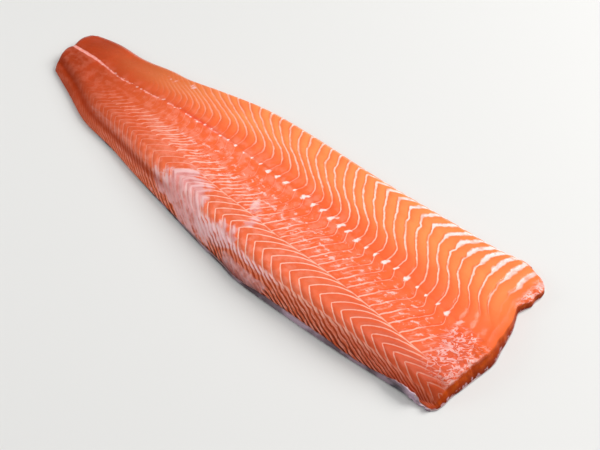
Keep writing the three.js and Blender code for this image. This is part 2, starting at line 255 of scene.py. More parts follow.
MIDDLE_SHARES = (-0.2, 0, 0.08, 0.16, 0.28, 0.37, 0.47, 0.6, 0.74, 0.82, 0.9, 1)
MIDDLE_LEADS = {  # by the place on the pin-bone line
    10: (-17.5, -17.5, -15.5, -11, -3.5, 0.5, 4, 6.5, 7, 5.5, 3, 0),
    80: (-18.5, -18.5, -16.7, -13.7, -10, -7.7, -4, 0.8, 5.5, 5, 2.8, 0),
}
BELLY_SHARES = (0, 0.1, 0.2, 0.3, 0.42, 0.55, 0.68, 0.8, 0.9, 1)
BELLY_LEADS = {  # by the place on the pin-bone line
    -250: (0, 0, -2, -5, -10, -15, -20, -24, -27, -30),
    -77: (0, 0, -2, -6, -18, -34, -48, -59, -66, -72),
    -1: (0, 2, 3, -2, -14, -33, -45, -56, -61, -65),
    65: (0, 3, -1, -11, -25, -37, -47, -51, -55, -58),
    135: (0, 2, -1, -7, -22, -33, -41, -48, -53, -55),
    180: (0, 1, 0, -8, -18, -26, -34, -41, -45, -46),
    210: (0, 0, -3, -9, -19, -28, -35, -40, -41, -41),
    236: (0, 0, -2, -8, -19, -26, -31, -31, -23, -15),
    264: (0, 1, -2, -10, -19, -24, -29, -29, -25, -18),
    293: (0, 0, -3, -15, -22, -25, -28, -28, -27, -25),
}
middle_leads, belly_leads = [
    [curve_through([(p, row[k]) for p, row in leads.items()]) for k in range(len(shares))]
    for leads, shares in ((MIDDLE_LEADS, MIDDLE_SHARES), (BELLY_LEADS, BELLY_SHARES))]
# Near the belly's edge some sheets turn sharply towards the head: where they turn, and their lead then.
turn_share = curve_through([
    (112, 0.95), (128, 0.922), (141, 0.896), (154, 0.88), (168, 0.863), (180, 0.844), (195, 0.82),
    (210, 0.797), (223, 0.775), (236, 0.76)])
turn_lead = curve_through([
    (105, 0), (117, 9), (128, 20), (141, 23), (154, 20), (168, 20), (180, 18), (195, 18), (210, 21),
    (223, 12), (236, 0)])
print("sheets from tail to head:", round(float(sheet_number(375) - sheet_number(-312))))


# %% Numbering the net
def loin_lead(p):
    """Lead of the loin's sheets over the net: down the lower arm and the wall, up the upper arm."""
    tip, septum = tip_line(x), septum_line(x)
    down = np.clip((tip - share) / (tip - shoulder), 0, 1)
    up = np.clip((share - tip) / (septum - tip), 0, 1.2)
    bend = 0.45 * up + 0.3 * up ** 2 + 0.25 * up ** 8 * fade(p, 50, 120)
    bend += fade(p, 245, 300) * (0.6 * up + 0.4 * up ** 2 - bend)
    falls = 0.85 * down + 0.15 * down ** 3.2
    arms = np.where(share < tip, lower_arm(p) * falls, upper_arm(p) * bend)
    return tip_lead(p) + arms + wall_lead(p) * (1 - up_wall) ** 1.05


def belly_lead(p):
    """Lead of the sheets of the middle and the belly."""
    septum, pin = septum_line(x), pin_line(x)
    inner = (share - septum) / (pin - septum)
    at = np.broadcast_to(np.array(MIDDLE_SHARES, float), inner.shape + (len(MIDDLE_SHARES),))
    values = np.stack([lead(p) for lead in middle_leads], -1)
    middle = read_across(at, values, np.clip(inner, -0.2, 1)) * (0.55 + 0.45 * fade(p, -220, -90))
    outer = np.clip((share - pin) / (1 - pin), 0, 1)
    at = np.broadcast_to(np.array(BELLY_SHARES, float), outer.shape + (len(BELLY_SHARES),))
    values = np.stack([lead(p) for lead in belly_leads], -1)
    turned = turn_lead(p) * np.clip((outer - turn_share(p)) / (1 - turn_share(p)), 0, 1)
    return np.where(inner < 1, middle, read_across(at, values, outer) + turned)


def crossing(lead):
    """Where the sheet at each point of the net crosses the pin-bone line."""
    p = x.copy()
    for _ in range(8):  # the lead depends on the crossing, so a few damped rounds settle both
        p = 0.4 * p + 0.6 * (x - lead(p))
    return p


pin_share, septum_share = pin_line(x), septum_line(x)
loin_pin, belly_pin = crossing(loin_lead), crossing(belly_lead)
loin_sheet, belly_sheet = sheet_number(loin_pin), sheet_number(belly_pin)
from_septum = (share - septum_share) * width  # in mm, negative on the loin's side
from_pins = (share - pin_share) * width
print("loin sheets", round(float(loin_sheet.min())), "to", round(float(loin_sheet.max())))


# %% [markdown]
# ## Relief
# The knife and the ice leave the surface soft and uneven. Muscle swells a little between the sheets,
# so each sheet lies in a shallow valley, steeper on its tail side. A roll of dark muscle runs along
# the back of the tail behind a crease, a groove marks the pin bones, and near the head end the flesh
# is torn where the collar was pulled off. All of it is real height here, not only shading.

# %% Distance to the nearest sheet
def spacing(number):
    """Millimetres along the surface for one sheet more, at each point of the net."""
    along, across = np.gradient(number)
    ax, ay, az = (np.gradient(c, axis=0) for c in (x, y, rough_top))
    bx, by, bz = (np.gradient(c, axis=1) for c in (x, y, rough_top))
    aa, bb = ax * ax + ay * ay + az * az, bx * bx + by * by + bz * bz
    ab = ax * bx + ay * by + az * bz
    steep = (bb * along ** 2 - 2 * ab * along * across + aa * across ** 2) / (aa * bb - ab * ab)
    return 1 / np.sqrt(np.maximum(steep, 1e-3))


foot = foot_share(x) * loin_height(x)
wall_top = smooth_top(x, shoulder)
WALL_TURN = 1.3  # radians that the wall turns through; the loin's slope takes over from there
rough_top = np.where(v < WALL, foot + (wall_top - foot) * np.sin(up_wall * WALL_TURN) / np.sin(WALL_TURN),
                     smooth_top(x, share))
loin_spacing, belly_spacing = spacing(loin_sheet), spacing(belly_sheet)
print("fat lines are", round(float(np.median(loin_spacing)), 1), "mm apart in the loin and",
      round(float(np.median(belly_spacing)), 1), "mm in the belly")


# %% Noise over the net
def ripple(size, seed, detail=2, turn=0, stretch=1):
    """Smooth noise from about -1 to 1 over the net. `size` is in mm, `turn` in degrees."""
    c, s = np.cos(np.radians(turn)), np.sin(np.radians(turn))
    along, across = (c * x + s * y) / (size * stretch), (c * y - s * x) / size
    flat = [noise.fractal(Vector((a, b, seed)), 0.9, 2.1, detail)
            for a, b in zip(along.ravel(), across.ravel())]
    return np.array(flat).reshape(x.shape)


def blob(cx, cy, rx, ry, turn=0.0):
    """A soft oval patch on the net: 1 in its middle, 0.37 at its rim."""
    c, s = np.cos(np.radians(turn)), np.sin(np.radians(turn))
    dx, dy = x - cx, y - cy
    return hill(np.hypot((c * dx + s * dy) / rx, (c * dy - s * dx) / ry))


GRAIN = 42  # degrees: how the torn shreds and the ticks above the septum lie
soft, fine = ripple(48, 3.1), ripple(11, 8.7)
wrinkle = 1 - 2.6 * np.abs(ripple(3.2, 5.3, 1, GRAIN, 1.8))
shreds = ripple(7, 2.9, 2, GRAIN, 2.4)
belly_sheet = belly_sheet + 0.1 * ripple(13, 6.1, 2) * fade(from_pins, 0, 15)
belly_sheet += 0.17 * fade(y, 66, 58) * fade(from_pins, 0, 45) * fade(x, 115, 150)  # the sheets jog here
wall_sheet = 1.5 * loin_sheet + 0.35 * ripple(14, 4.4, 2)  # on the wall the sheets split
print("noise from", round(float(soft.min()), 2), "to", round(float(soft.max()), 2))

# %% Flakes
wall_long = np.hypot(wall_top - foot, shoulder * width)
from_shoulder = np.where(v < WALL, (up_wall - 1) * wall_long, (share - shoulder) * width)
wall_mask = fade(from_shoulder, -1, -5)
outer = np.clip((share - pin_share) / (1 - pin_share), 0, 1)  # 0 at the pin bones, 1 at the belly's edge
from_head = head_end - x


def flake(number, apart, depth, crest, wide=1.2):
    """A valley at each sheet and a swelling between them, steeper on the tail side."""
    near = np.abs(number - np.round(number)) * apart
    along = number - np.floor(number)
    swell = crest * (1 - (2 * along - 1) ** 2)
    return swell - depth * hill(near / wide) + 0.25 * (0.5 - along) * (1 - hill(near / wide))


middle_calm = 0.25 + 0.75 * fade(from_pins, -2, 14) + 0.45 * fade(from_septum, 14, 3)
calm_end = fade(from_head, 34, 12) * fade(y, -40, -15) * fade(y, 60, 44)
loin_flakes = flake(loin_sheet, loin_spacing, 0.42, 0.32)
belly_flakes = flake(belly_sheet, belly_spacing, 0.45, 0.4) * middle_calm * (1 - 0.75 * calm_end)
wall_flakes = 0.5 * np.cos(2 * np.pi * wall_sheet) * (0.2 + 0.8 * fade(x, -150, 10))
flakes = np.where(from_septum < 0, loin_flakes * (1 - wall_mask) + wall_flakes * wall_mask,
                  belly_flakes) * (1 - 0.8 * hill(from_septum / 1.6))
flakes = flakes * fade(x, -235, -110)  # the tail's muscle is finer and lies flat
print("flakes:", round(float(np.ptp(flakes)), 1), "mm from the deepest valley to the highest crest")

# %% Creases, grooves and torn places
torn = fade(x, 254, 280) * fade(y, -76, -62) * fade(y, -2, -18)
torn_flap = fade(x, 284, 295) * fade(y, 42, 56)
crease_place = curve_through([(-300, 1), (-250, -2), (-200, -5), (-150, -6.5), (-90, -7), (-10, -5)])
in_crease = hill((from_shoulder - crease_place(x)) / 4.6) * fade(x, -30, -105)
fold = fade(x, -262, -240) * fade(x, -140, -175) * hill((outer - 0.72) * 4)
groove = 0.7 * fold + (0.35 + 0.3 * fade(x, -230, -140)) * hill(from_pins / 2.2)
lumps = blob(38, -99, 42, 6, -4)
membrane = fade(x, 22, 45) * fade(x, 104, 86) * fade(up_wall, 0.65, 0.4)
bulges = 2.2 * membrane * (0.5 + ripple(9, 7.7, 1))  # outwards from the wall, not upwards
worn_corner = 11 * hill(np.hypot(x - 318, y + 98) / 62)
print("grooves go down", round(float(groove.max()), 1), "mm, and the torn area is",
      round(float(np.ptp(y[torn > 0.5]))), "mm wide")

# %% Heights of the flesh
round_off = fade(y, -62, -80)  # the corner by the loin is worn round
ends = 1.2 * hill((x - tail_cut(y)) / 2.6)
ends = ends + (2.2 + 2.4 * round_off) * hill(from_head / (4.2 + 3.5 * round_off))
side_fades = fade(share, 1, 0.965)
relief = (flakes + 0.3 * soft + 0.16 * fine + torn * (0.75 * wrinkle + 0.8 * shreds)
          + torn_flap * (0.5 * wrinkle + 1.2 * shreds) + lumps * (0.9 * fine + 0.5)
          - 1.5 * in_crease - groove - worn_corner)
GROUND, THINNEST = 1.5, 1.2  # the flesh's underside, over the skin; the thinnest it gets
top = np.maximum(rough_top + relief * np.where(v < WALL, np.minimum(up_wall * 4, 1), side_fades) - ends,
                 GROUND + THINNEST)
print("top of the loin:", round(float(top.max()), 1), "mm")

# %% [markdown]
# ## The block
# A grid gives the net, and one extrusion makes it a closed block. Only its top and its sides need to
# be fine, since its underside lies hidden on the skin. So the block starts with large cells, and the
# faces that show are then subdivided: the underside's cells keep their size and are fanned to the
# finer rim.

# %% A block with a net of points
def only(piece):
    """Selects one piece and makes it the one that operators work on."""
    bpy.ops.object.select_all(action="DESELECT")
    piece.select_set(True)
    bpy.context.view_layer.objects.active = piece


def block(name, along, across, finer):
    """A block 1 x 1 x 1, its top and sides divided along x across x finer cells."""
    bpy.ops.object.select_all(action="DESELECT")
    bpy.ops.mesh.primitive_grid_add(x_subdivisions=along, y_subdivisions=across, size=1)
    piece = bpy.context.object
    piece.name = piece.data.name = name
    bpy.ops.object.mode_set(mode="EDIT")
    bpy.ops.mesh.select_all(action="SELECT")
    bpy.ops.mesh.extrude_region_move(TRANSFORM_OT_translate={"value": (0, 0, 1)})
    bpy.ops.mesh.select_all(action="SELECT")
    bpy.ops.mesh.normals_make_consistent(inside=False)
    bpy.ops.mesh.select_all(action="DESELECT")
    shape = bmesh.from_edit_mesh(piece.data)
    for face in shape.faces:
        face.select_set(face.calc_center_median().z > 0.1)
    bmesh.update_edit_mesh(piece.data)
    if finer > 1:
        bpy.ops.mesh.subdivide(number_cuts=finer - 1, ngon=False, quadcorner="INNERVERT")
    bpy.ops.object.mode_set(mode="OBJECT")
    return piece


def points_of(piece):
    """The piece's points, as an array with one row each."""
    flat = np.empty(3 * len(piece.data.vertices))
    piece.data.vertices.foreach_get("co", flat)
    return flat.reshape(-1, 3)


flesh = block("salmon_flesh", CELLS_ALONG, CELLS_ACROSS, FINER)
net = points_of(flesh)
net_i = np.rint((net[:, 0] + 0.5) * ALONG).astype(int)
net_j = np.rint((net[:, 1] + 0.5) * ACROSS).astype(int)
net_up = net[:, 2].clip(0, 1)
# In the underside's four corner cells, subdividing adds 16 points that lie between the net's. They go
# to the nearest place on the net, so some meet there, and the faces between those have no area.
print(flesh.name, len(net), "points, off the net by",
      round(float(np.abs((net[:, 0] + 0.5) * ALONG - net_i).max()), 4))

# %% [markdown]
# ## Moulding the flesh
# Each point now goes to its place on the net. Points down the sides lie under the rim. The head cut is
# the one side that shows, with its torn edges, so it is made craggy and leans back a little. The side
# of the belly swells out.

# %% Mould the block
def mould(piece, *places):
    """Moves a piece's points to their places, given in mm, and selects it."""
    piece.data.vertices.foreach_set("co", (np.stack(places, 1) * MM).ravel())
    piece.data.update()
    only(piece)
    size = [round(float(np.ptp(c)), 1) for c in places]
    print(piece.name, size, "mm,", sum(len(f.vertices) - 2 for f in piece.data.polygons), "triangles")


# The underside lies on the skin, and is a little higher where the skin turns up at both edges.
under = GROUND + 1.2 * hill((y - back_edge(x) - 1.5) / 1.6) + 3 * hill((belly_edge(x) - y) / 3.4)
px, py = x[net_i, net_j], (y - bulges)[net_i, net_j]
low, high = under[net_i, net_j], top[net_i, net_j]
pz = low + (high - low) * net_up
down = 1 - net_up
at_head, at_tail = net_i == ALONG, net_i == 0
at_belly = net_j == ACROSS
crags = np.array([noise.fractal(Vector((b / 7, c / 5, 2.2)), 0.8, 2.2, 3) for b, c in zip(py, pz)])
mid_height = np.sin(np.pi * net_up)
px = np.where(at_head, px + lean_back(py) * down + 0.8 * crags * mid_height, px)
px = np.where(at_tail, px + 0.5 * crags * mid_height, px)
py = np.where(at_belly, py + 0.5 * mid_height, py)
mould(flesh, px, py, pz)
bpy.ops.object.shade_smooth()

# %% [markdown]
# ## What each place is made of
# The finish will draw fat lines, dots and films that are finer than the net. It needs smooth numbers
# for that: the number of the sheet at each point, how far apart sheets are there, how wide the fat is,
# how far the septum and the pin bones are, and how much of a film or a tear there is. Each of these is
# stored on the mesh as an attribute, and the shader reads it by its name.

# %% How wide and how white the fat is
inner = np.clip((share - septum_share) / (pin_share - septum_share), 0, 1)  # 0 at the septum, 1 at the pins
# At the belly's edge the sheets end in broad white bands, from just before their sharp turn.
band_start = turn_share(belly_pin) - 0.05 - 0.04 * fade(belly_pin, 215, 250)
at_edge = fade(outer, band_start, band_start + 0.06)
loin_fat = 0.38 + 0.16 * fade(x, -120, 40)
before_pins = inner < 1  # true up to the pins, false over the belly
belly_fat = np.where(
    before_pins,
    0.66 * fade(inner, 0.6, 0.35) + 0.4 * fade(inner, 0.4, 0.7),
    0.55 + 0.25 * fade(outer, 0.1, 0.4)
    + at_edge * (0.3 + 0.95 * fade(belly_pin, 90, 200) + 0.2 * fade(belly_pin, 200, 240)))
# The belly's sheets thin out and fade before the torn area and the cut, and along the tail half's pins.
belly_fat *= 1 - 0.6 * fade(from_head, 66, 42) * fade(from_pins, -20, 0) * fade(outer, 0.5, 0.25)
loin_strength = 0.03 + 0.27 * fade(x, -255, -150) + 0.7 * fade(x, -140, 0)
belly_strength = np.where(
    before_pins,
    0.95 * fade(inner, 0.55, 0.3) + (0.2 + 0.45 * fade(x, 20, 100)) * fade(inner, 0.35, 0.6),
    0.45 + 0.2 * fade(x, -120, -20) + 0.15 * fade(x, 20, 100) + 0.7 * at_edge * fade(x, -180, -90)
    + 0.2 * fade(outer, 0.1, 0.3) * fade(x, -60, 90))
belly_strength *= fade(x, np.where(before_pins, -250, -205), -85)
belly_strength *= 1 - 0.9 * fade(from_head, 36, 16) * fade(y, -40, -10) * fade(outer, 0.72, 0.5)
belly_strength *= 1 - 0.9 * fade(from_head, 56, 34) * fade(from_pins, -12, 4) * fade(outer, 0.4, 0.12)
belly_strength *= 1 - fade(from_head, 15, 7) * fade(outer, 0.9, 0.8)
belly_strength *= 1 - 0.6 * fade(x, 60, 10) * fade(inner, 0.9, 1) * fade(outer, 0.32, 0.1)
print("fat lines are up to", round(2 * float(belly_fat.max()), 1), "mm wide")

# %% Films and the ridge
FILM_PATCHES = [  # how much film, then the patch's place, its two radii and its turn in degrees
    (1.2, -46, -68, 33, 19, -10), (1.3, -40, -82, 32, 12, -12), (0.9, 20, -82, 24, 13, -6),
    (0.8, 26, -38, 13, 7, -40), (0.6, 38, -55, 9, 8, -40), (-0.9, -6, -77, 10, 8, 0),
    (-1.2, -52, -88, 18, 5, -10), (0.24, -168, 48, 26, 7, 12)]
film = np.clip(sum(much * blob(*patch) for much, *patch in FILM_PATCHES), 0, 1)
narrower = fade(x, 20, 45)
ridge = hill((from_shoulder + 7 - 3.8 * narrower) / (8 - 4.8 * narrower - fade(x, 90, 110))) * (
    fade(x, -22, -5) * (1 - 0.2 * fade(x, 95, 110)) * (1 - 0.6 * fade(x, 200, 250)))
print("film on", round(100 * float((film > 0.4).mean()), 1), "% of the net")


# %% Store the numbers on the points
def store(piece, name, values):
    """Keeps one number for each point of the piece, under a name."""
    attribute = piece.data.attributes.new(name, "FLOAT", "POINT")
    attribute.data.foreach_set("value", np.asarray(values, np.float32))


numbers = {
    "loin_sheet": loin_sheet, "belly_sheet": belly_sheet, "wall_sheet": wall_sheet,
    "loin_spacing": np.clip(loin_spacing, 0, 30), "belly_spacing": np.clip(belly_spacing, 0, 30),
    "loin_fat": loin_fat, "belly_fat": belly_fat,
    "loin_strength": loin_strength, "belly_strength": np.clip(belly_strength, 0, 1),
    "from_septum": from_septum, "from_pins": from_pins, "from_shoulder": from_shoulder,
    "along": x / LENGTH + 0.5, "inner": inner, "outer": outer,
    "film": film, "ridge": ridge, "membrane": membrane,
    "torn": np.clip(torn + 0.9 * torn_flap, 0, 1), "wrinkle": np.clip(wrinkle, 0, 1),
    # The crease, the corner and the head end's edge also place painted shade, and the head's rim a painted
    # highlight.
    "creased": in_crease, "blood": blob(-104, 12.5, 32, 2.6),
    "corner": hill(np.hypot(x - 312, y + 96) / 26),
    "head_rim_highlight": hill(from_head / 2.4) * fade(y, -74, -62) * fade(y, -22, -36),
    "head_edge": hill(from_head / 12) * fade(y, -40, -15) * (1 - torn_flap),
}
for name, values in numbers.items():
    store(flesh, name, values[net_i, net_j])
store(flesh, "cut_face", np.where(at_head | at_tail, fade(down, 0, 0.2), 0))
store(flesh, "cut_foot", np.where(at_head, fade(down, 0.4, 1), 0))
print("numbers stored:", ", ".join(numbers))

# %% [markdown]
# ## An unwrapping for the flesh
# A part that leaves Blender keeps its finish as a picture wrapped on it. The long fillet would waste
# most of a square picture, so it is laid out in two bands, the tail half and the head half, and the
# cuts, the sides and the underside get narrow strips. Every face goes by its points' places on the net.

# %% Lay the faces out
MARGIN = 0.01
SPAN = 1 - 2 * MARGIN


def unwrap(piece, shares, large_faces, sides):
    """Unwraps a block by its points' places on its net, given as shares along, across and upwards.

    `large_faces` lays out the top and the underside. `sides` gives the start and the height of the
    strips for the head end, the tail end, the belly's side and the back's side."""
    mesh = piece.data
    point = np.empty(len(mesh.loops), int)
    mesh.loops.foreach_get("vertex_index", point)
    sizes = np.empty(len(mesh.polygons), int)
    mesh.polygons.foreach_get("loop_total", sizes)
    starts = np.cumsum(sizes) - sizes
    least, most = ([np.repeat(how.reduceat(c[point], starts), sizes) for c in shares]
                   for how in (np.minimum, np.maximum))
    at = [c[point] for c in shares]
    map_u, map_v = large_faces(at, least, most)
    upright = (least[2] < 1) & (most[2] > 0)
    strips = [(least[0] == 1, at[1]), (most[0] == 0, at[1]), (least[1] == 1, at[0]), (most[1] == 0, at[0])]
    for (which, run), (start, tall) in zip(strips, sides):
        map_u = np.where(which & upright, MARGIN + SPAN * run, map_u)
        map_v = np.where(which & upright, start + tall * at[2], map_v)
    bake_map = mesh.uv_layers.new(name="OFBake")
    bake_map.data.foreach_set("uv", np.stack([map_u, map_v], 1).ravel().astype(np.float32))
    print(piece.name, "map spans", round(float(np.ptp(map_u)), 2), "x", round(float(np.ptp(map_v)), 2))


def two_bands(at, least, most):
    """The tail half and the head half of the top, over each other, and a strip for the underside."""
    tail_half = (least[0] + most[0]) / 2 < 0.5
    underside = most[2] == 0
    band_u = np.where(tail_half, at[0], at[0] - 0.5) * 2
    band_v = np.where(tail_half, 0.005 + 0.36 * at[1], 0.375 + 0.44 * at[1])
    return (MARGIN + SPAN * np.where(underside, at[0], band_u),
            np.where(underside, 0.955 + 0.04 * at[1], band_v))


unwrap(flesh, (net_i / ALONG, net_j / ACROSS, net_up), two_bands,
       sides=[(0.825, 0.05), (0.885, 0.02), (0.915, 0.015), (0.935, 0.01)])

# %% [markdown]
# ## Finishes
# Both finishes are wired in code. A wire here is one output of a node, and sums of wires are written as
# sums, which add the nodes that do them. A few helpers more make the nodes that are used most often.
# What both finishes share is made once as a node group.

# %% Nodes and wires
def node(tree, kind, inputs=None, **settings):
    """Adds a node. Its inputs are numbers, colours or wires."""
    made = tree.nodes.new(kind)
    for key, value in settings.items():
        setattr(made, key, value)
    for socket, value in (inputs or {}).items():
        if isinstance(value, Wire):
            tree.links.new(value.socket, made.inputs[socket])
        else:
            made.inputs[socket].default_value = value
    return made


class Wire:
    """One output of a node. Sums with it add nodes to its tree."""

    def __init__(self, made, output=0):
        self.tree, self.socket = made.id_data, made.outputs[output]

    def __add__(self, other):
        return sums("ADD", self, other)

    def __sub__(self, other):
        return sums("SUBTRACT", self, other)

    def __rsub__(self, other):
        return sums("SUBTRACT", other, self)

    def __mul__(self, other):
        return sums("MULTIPLY", self, other)

    def __truediv__(self, other):
        return sums("DIVIDE", self, other)

    def __pow__(self, other):
        return sums("POWER", self, other)


def tree_of(*terms):
    """The tree that the first wire among the terms belongs to."""
    return next(term.tree for term in terms if isinstance(term, Wire))


def sums(operation, *terms):
    made = node(tree_of(*terms), "ShaderNodeMath", dict(enumerate(terms)), operation=operation)
    return Wire(made)


def larger(*wires):
    """The largest of several wires."""
    found = wires[0]
    for wire in wires[1:]:
        found = sums("MAXIMUM", found, wire)
    return found


def off_whole(number):
    """How far a number is from the nearest whole one, from -0.5 to 0.5."""
    return sums("FRACT", number + 0.5) - 0.5


# %% Places, patterns and colours
def object_place(tree):
    return Wire(node(tree, "ShaderNodeTexCoord"), "Object")


def stored(tree, name):
    """A number that was stored on the piece's points."""
    return Wire(node(tree, "ShaderNodeAttribute", attribute_name=name), "Fac")


def vector(*parts):
    return Wire(node(tree_of(*parts), "ShaderNodeCombineXYZ", dict(enumerate(parts))))


def stretched(place, by):
    return Wire(node(place.tree, "ShaderNodeVectorMath", {0: place, 1: by}, operation="MULTIPLY"))


def cloud(place, scale, detail, **more):
    """Noise from 0 to 1. Its clouds are about 1 / scale in size."""
    inputs = {"Vector": place, "Scale": scale, "Detail": detail, **more}
    return Wire(node(place.tree, "ShaderNodeTexNoise", inputs))


def lots(number):
    """Three numbers from 0 to 1, drawn by lot for each whole number."""
    drawn = node(number.tree, "ShaderNodeTexWhiteNoise", {"W": number}, noise_dimensions="1D")
    parts = node(number.tree, "ShaderNodeSeparateColor", {0: Wire(drawn, "Color")})
    return [Wire(parts, k) for k in range(3)]


def step(value, low, high, to_low=0.0, to_high=1.0):
    """A smooth step: to_low where value is low, to_high where it is high."""
    inputs = {"Value": value, "From Min": low, "From Max": high, "To Min": to_low, "To Max": to_high}
    return Wire(node(value.tree, "ShaderNodeMapRange", inputs, interpolation_type="SMOOTHSTEP"))


def dye(amount, under_colour, over_colour, mode="MIX"):
    """Lays one colour over another."""
    inputs = {0: amount, 6: under_colour, 7: over_colour}
    return Wire(node(amount.tree, "ShaderNodeMix", inputs, data_type="RGBA", blend_type=mode), 2)


def colour(red, green, blue):
    """A colour as a screen shows it, 0 to 255, turned into the renderer's numbers."""
    screen = np.array([red, green, blue]) / 255
    linear = np.where(screen <= 0.04045, screen / 12.92, ((screen + 0.055) / 1.055) ** 2.4)
    return (*[float(c) for c in linear], 1.0)


print("the renderer's numbers for orange:", [round(c, 3) for c in colour(250, 142, 80)])


# %% Groups and materials
def group(name, inputs, outputs):
    """An empty node group with named sockets, and its inputs as wires."""
    tree = bpy.data.node_groups.new(name, "ShaderNodeTree")
    for label, value in inputs.items():
        socket = tree.interface.new_socket(label, in_out="INPUT", socket_type="NodeSocketFloat")
        socket.default_value = value
    for label in outputs:
        tree.interface.new_socket(label, in_out="OUTPUT", socket_type="NodeSocketFloat")
    start = tree.nodes.new("NodeGroupInput")
    return tree, [Wire(start, label) for label in inputs]


def put_out(tree, outputs):
    """Ends a node group."""
    node(tree, "NodeGroupOutput", outputs)
    print(tree.name, len(tree.nodes), "nodes")


def use(tree, shared, inputs):
    """Places a node group in a tree, and gives its outputs as wires."""
    made = node(tree, "ShaderNodeGroup", inputs, node_tree=shared)
    return [Wire(made, k) for k in range(len(made.outputs))]


def new_finish(name):
    """A material and its tree, still empty."""
    finish = bpy.data.materials.new(name)
    finish.use_nodes = True
    finish.node_tree.nodes.clear()
    return finish, finish.node_tree


def dress(piece, finish, inputs, height, strength, depth):
    """Ends a finish with its shader, and gives it to a piece. A height of 1 stands for `depth` metres."""
    tree = finish.node_tree
    bump = node(tree, "ShaderNodeBump", {"Height": height, "Strength": strength, "Distance": depth})
    shader = node(tree, "ShaderNodeBsdfPrincipled", {**inputs, "Normal": Wire(bump)})
    node(tree, "ShaderNodeOutputMaterial", {"Surface": Wire(shader)})
    piece.data.materials.append(finish)
    print(piece.name, "is finished with", len(tree.nodes), "nodes")


# %% [markdown]
# A sheet of fat shows as a line of even width with a soft edge, never quite straight. The number of the
# sheet says where: close to a whole number there is fat. Multiplied by the spacing, the distance to it
# is in millimetres, so the line keeps its width where the sheets crowd together.

# %% Shared: a line of fat
fat_line, (sheet, sheets_apart, half_width, straying) = group(
    "Fat line", {"Sheet": 0, "Spacing": 12, "Half width": 0.5, "Waver": 0.06}, ["Fat", "Along"])
place = object_place(fat_line)
number = sheet + (cloud(place, 150, 3) - 0.5) * straying
off_line = sums("ABSOLUTE", off_whole(number)) * sheets_apart
uneven = half_width * step(cloud(place, 190, 2), 0.25, 0.75, 0.75, 1.3)
inside_line = off_line / sums("MAXIMUM", uneven, 0.02)
put_out(fat_line, {"Fat": step(inside_line, 0.55, 1.6, 1.0, 0.0), "Along": sums("FRACT", number)})

# %% [markdown]
# Flesh and skin are wet, but not evenly: there are shiny pools and duller patches. Under the water lies
# a fine grain, drawn out along the fillet. Both pieces use this one group with their own sizes.

# %% Shared: wet grain
wet_grain, (grain_size, stretch) = group("Wet grain", {"Size": 260, "Stretch": 5}, ["Grain", "Wet"])
place = object_place(wet_grain)
drawn_out = stretched(place, vector(1.0, stretch, 2.0))
put_out(wet_grain, {"Grain": cloud(drawn_out, grain_size, 4), "Wet": step(cloud(place, 55, 3), 0.35, 0.7)})

# %% [markdown]
# ## The flesh's finish
# Farmed salmon is orange from what it eats: redder and darker in the tail, pinker in the loin, and more
# yellow in the fat belly. The tail's darkness is partly painted shade, where the light falls off. Over that
# come painted shade beside the fat lines, a torn film of membrane, the darker wall at the back with its
# painted shade, the fat lines and the septum, the white dots of the pin bones, the broken middle, and last
# the ridge, the torn places and the cuts, with painted highlights and painted shade of their own. They are
# laid on in that order, coat over coat, so that each can hide what is under it.

# %% The colours of salmon
LOIN, MIDDLE = colour(238, 110, 68), colour(246, 108, 58)
BELLY, TAIL_TONE_AND_SHADE = colour(250, 142, 80), colour(166, 54, 12)
WALL_FLESH, WALL_GAP_AND_SHADE, CUT_FLESH_SHADED = colour(246, 132, 98), colour(84, 18, 2), colour(166, 56, 4)
FAT, BELLY_LINE, PIN_FAT = colour(255, 190, 168), colour(255, 210, 194), colour(255, 228, 220)
FILM, MEMBRANE = colour(226, 160, 160), colour(212, 126, 114)

salmon, tree = new_finish("salmon_flesh")
place = object_place(tree)
mottle, speckle, blotch = cloud(place, 28, 4), cloud(place, 240, 5), cloud(place, 110, 4)
known = {name: stored(tree, name) for name in (*numbers, "cut_face", "cut_foot")}
along, inner_share, outer_share = known["along"], known["inner"], known["outer"]
off_shoulder, off_septum, off_pins = known["from_shoulder"], known["from_septum"], known["from_pins"]
loin_number, belly_number = known["loin_sheet"], known["belly_sheet"]

base = dye(step(off_septum, -3, 6), LOIN, MIDDLE)
base = dye(step(outer_share, 0.05, 0.6), base, BELLY)
# Partly painted shade: the tail is redder, and it is also painted darker where the light falls off towards
# it.
base = dye(step(along, 0.4, 0.0), base, TAIL_TONE_AND_SHADE)
base = dye(step(mottle, 0.35, 0.75, 0.0, 0.3), base, colour(236, 86, 42))
pinker = step(blotch, 0.42, 0.66, 0.0, 0.5) * step(outer_share, 0.3, 0.0)
pinker = pinker * step(along, 0.12, 0.4, 0.3, 1.0) * step(along, 0.6, 0.8, 1.0, 0.2)
base = dye(pinker, base, colour(252, 154, 128))
print("base colours laid, over", len(known), "stored numbers")

# %% [markdown]
# On the loin the knife left a thin film: a skin of membrane with frayed edges. It tears along the muscle
# segments, so each segment has its own luck at holding it, and its strands run along the sheets of fat,
# which shine through.

# %% Where the film lies
strands = cloud(vector(loin_number * 2.3, off_septum * 0.05, 4.0), 1.0, 5)
frayed = known["film"] + (blotch - 0.5) * 1.3 + (strands - 0.5)
held = (lots(sums("FLOOR", loin_number))[0] - 0.5) * step(off_septum, 0.0, -3.0, 0.0, 0.55)
film_seen = step(frayed + held, 0.25, 0.65, 0.0, 0.78) * step(known["film"], 0.03, 0.15)
print("film placed")
